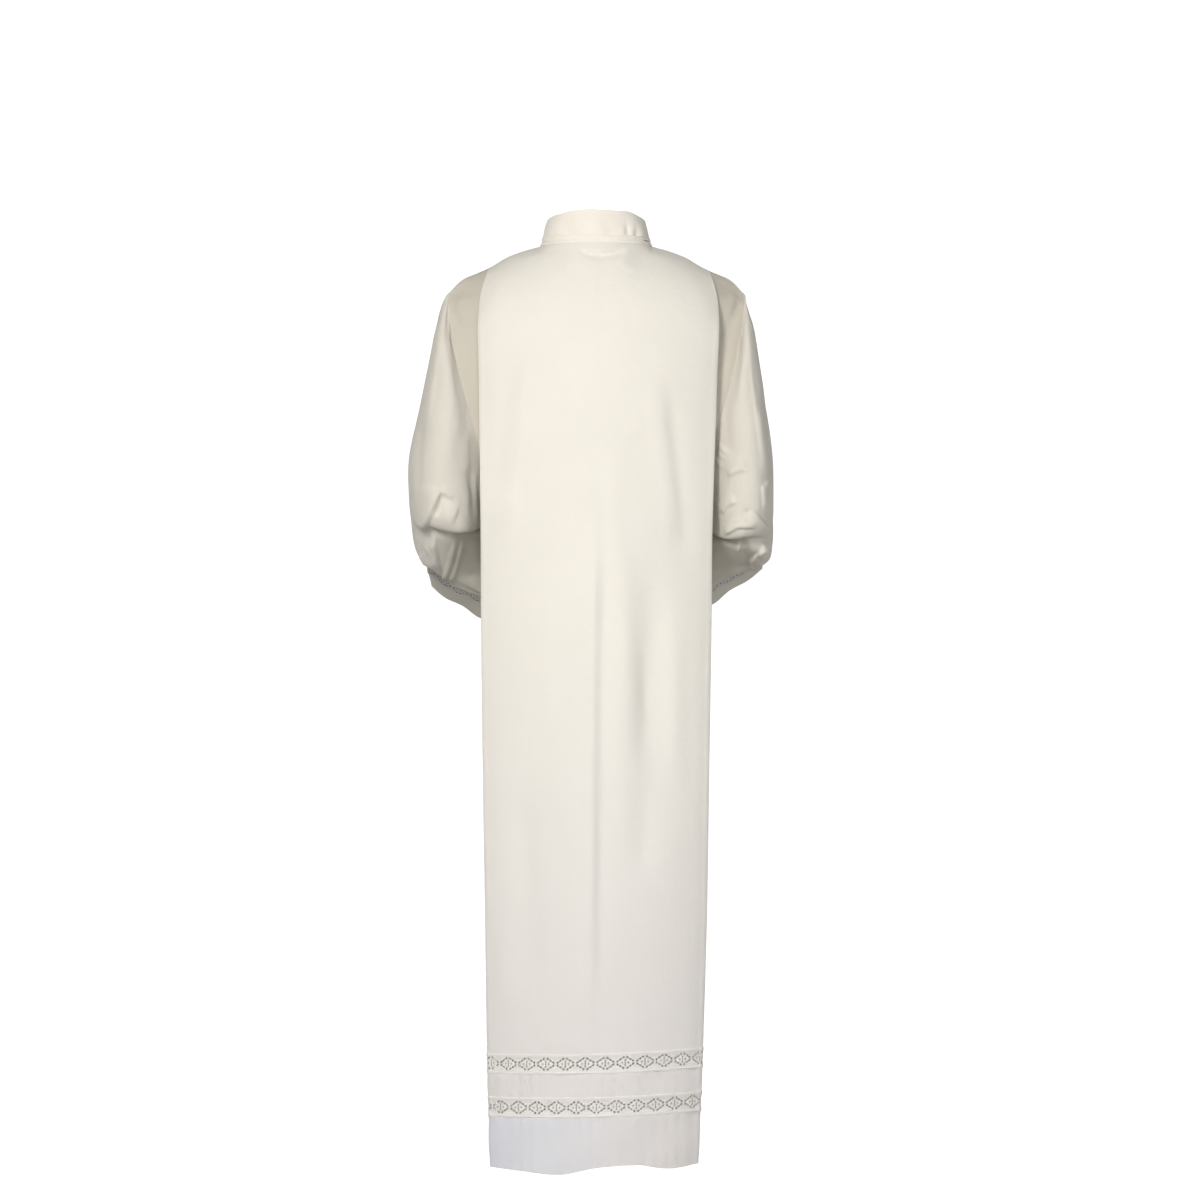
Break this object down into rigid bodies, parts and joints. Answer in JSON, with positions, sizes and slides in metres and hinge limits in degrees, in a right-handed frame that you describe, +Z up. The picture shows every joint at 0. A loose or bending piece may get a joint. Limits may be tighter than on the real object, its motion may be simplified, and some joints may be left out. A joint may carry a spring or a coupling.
{
  "type": "alb",
  "caption": "Long white alb in worn form, with pressed back pleats, stand collar, wide sleeves and lace insertions at hem and cuffs.",
  "frame": {"origin": "middle of the neck base, where the wearer's shoulders and neck hold the garment up", "axes": "+Z up towards the collar, -Y the wearer's front, +X the wearer's left"},
  "size_m": [0.559, 0.3858, 1.4499],
  "materials": {
    "body_cloth": "smooth white cotton blend, matt",
    "hem_cloth": "the same cloth in the skirt's lower bands",
    "sleeve_cloth": "the same cloth in the sleeves",
    "collar_cloth": "folded cloth, smooth and matt",
    "lace": "white cotton insertion lace with a row of diamonds"
  },
  "bodies": {
    "root": {"back": "body_cloth", "front": "body_cloth", "front_placket": "body_cloth", "mid_band_back": "hem_cloth", "mid_band_front": "hem_cloth", "hem_band_back": "hem_cloth", "hem_band_front": "hem_cloth", "lace_upper_back": "lace", "lace_upper_front": "lace", "lace_lower_back": "lace", "lace_lower_front": "lace", "neck_binding": "collar_cloth", "collar": "collar_cloth", "sleeve_left": "sleeve_cloth", "sleeve_right": "sleeve_cloth", "cuff_left": "sleeve_cloth", "cuff_right": "sleeve_cloth", "sleeve_lace_left_outer": "lace", "sleeve_lace_left_inner": "lace", "sleeve_lace_right_outer": "lace", "sleeve_lace_right_inner": "lace"}
  },
  "joints": []
}
